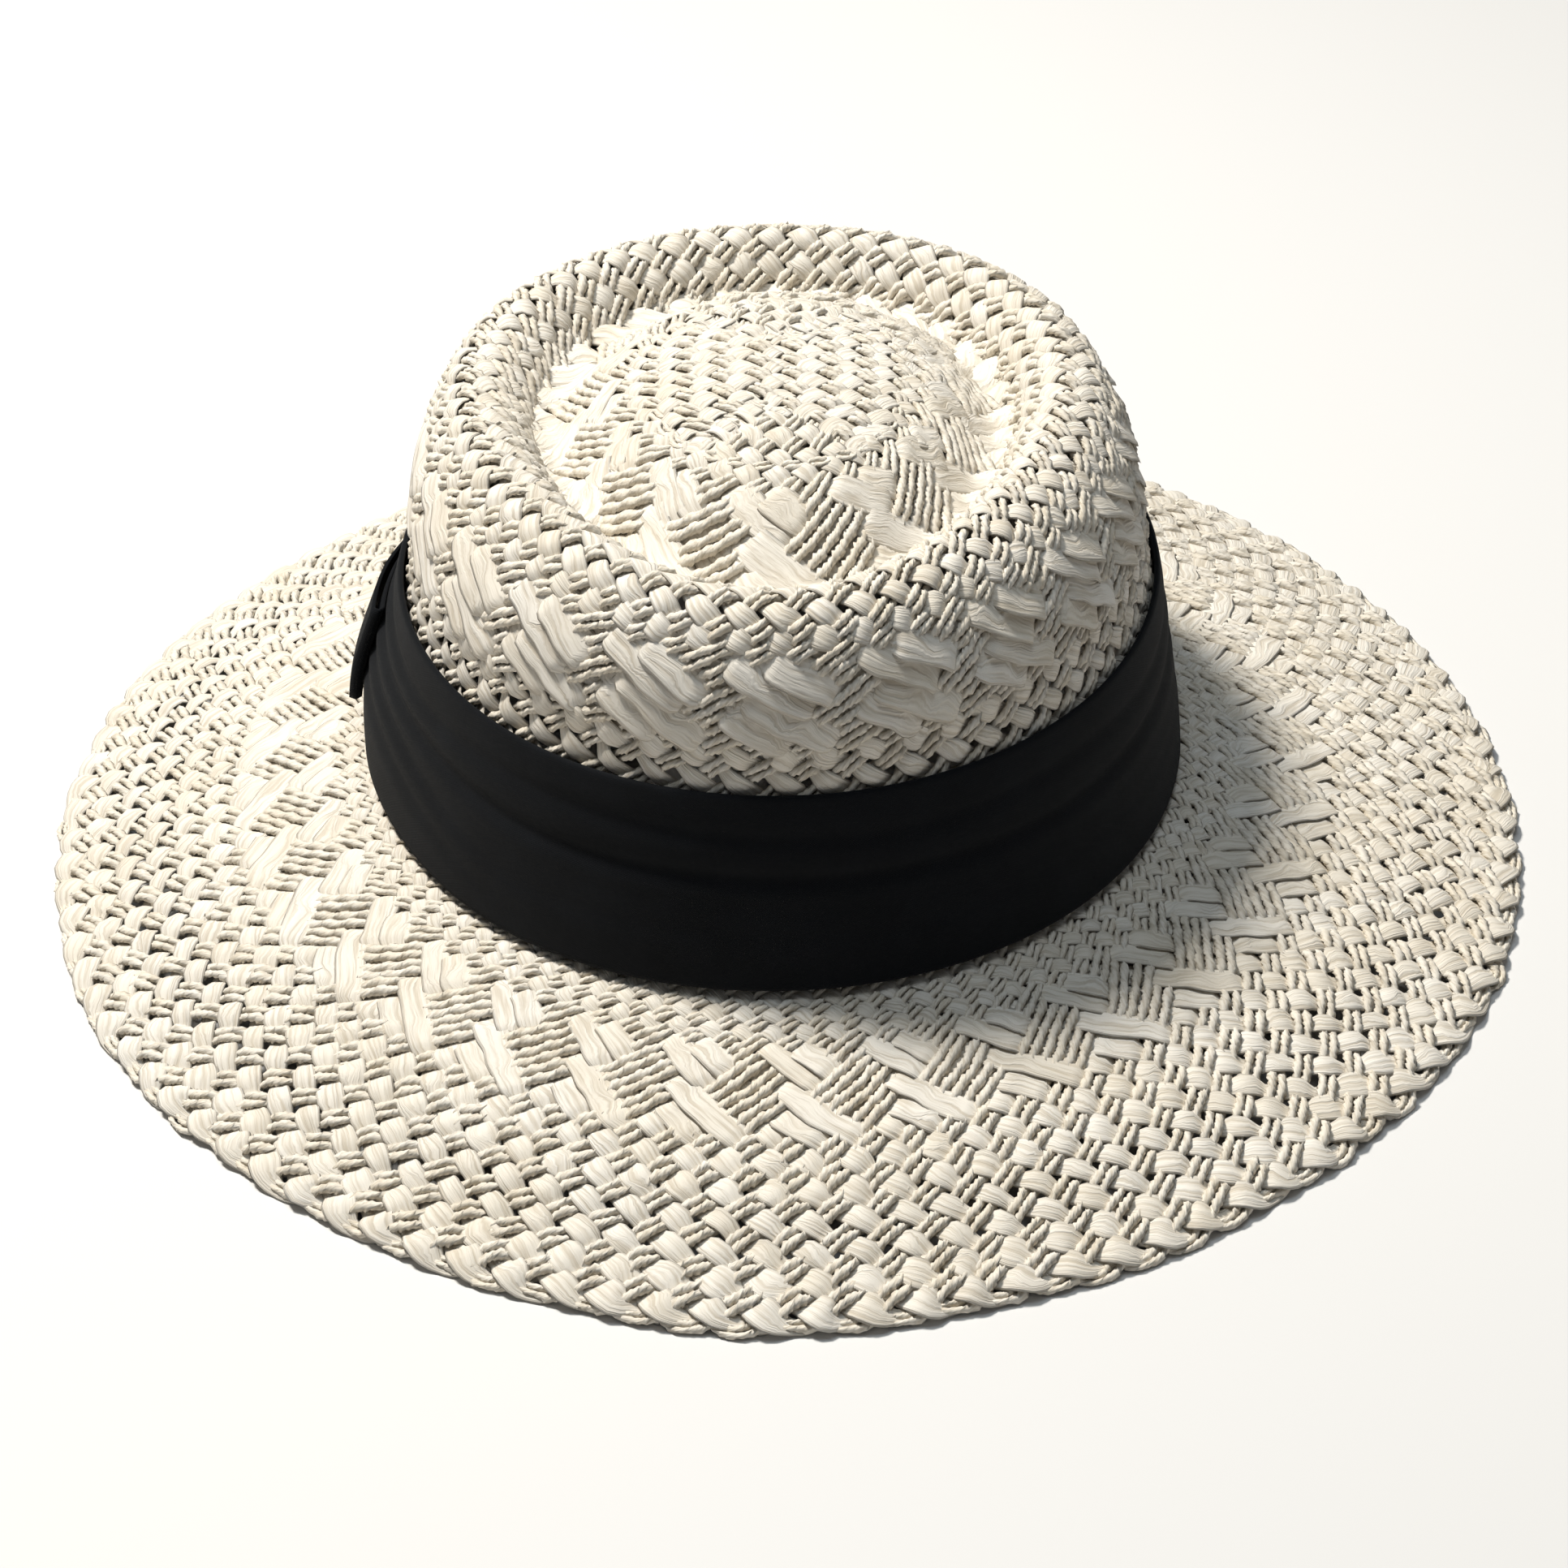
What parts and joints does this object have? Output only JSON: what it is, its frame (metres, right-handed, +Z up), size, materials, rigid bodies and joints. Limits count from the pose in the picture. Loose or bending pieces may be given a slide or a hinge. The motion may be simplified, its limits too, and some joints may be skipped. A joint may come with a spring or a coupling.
{
  "type": "straw hat",
  "caption": "Woven straw hat with a dished, domed crown, a sloping round brim with a toothed edge, and a pleated black cloth band fastened with a flat bow at one side.",
  "frame": {"origin": "Centre of the brim's outline on the surface that the hat rests on, at the underside of the brim's edge.", "axes": "+Z up through the dome of the crown, -Y towards the wearer's front, +X towards the side across from the bow."},
  "size_m": [0.3308, 0.3544, 0.116],
  "materials": {
    "straw": "bleached woven straw, matte",
    "cloth": "fine black cotton cloth, matte"
  },
  "bodies": {
    "root": {"crown": "straw", "brim": "straw", "band": "cloth", "bow": "cloth", "bow_wrap": "cloth"}
  },
  "joints": []
}
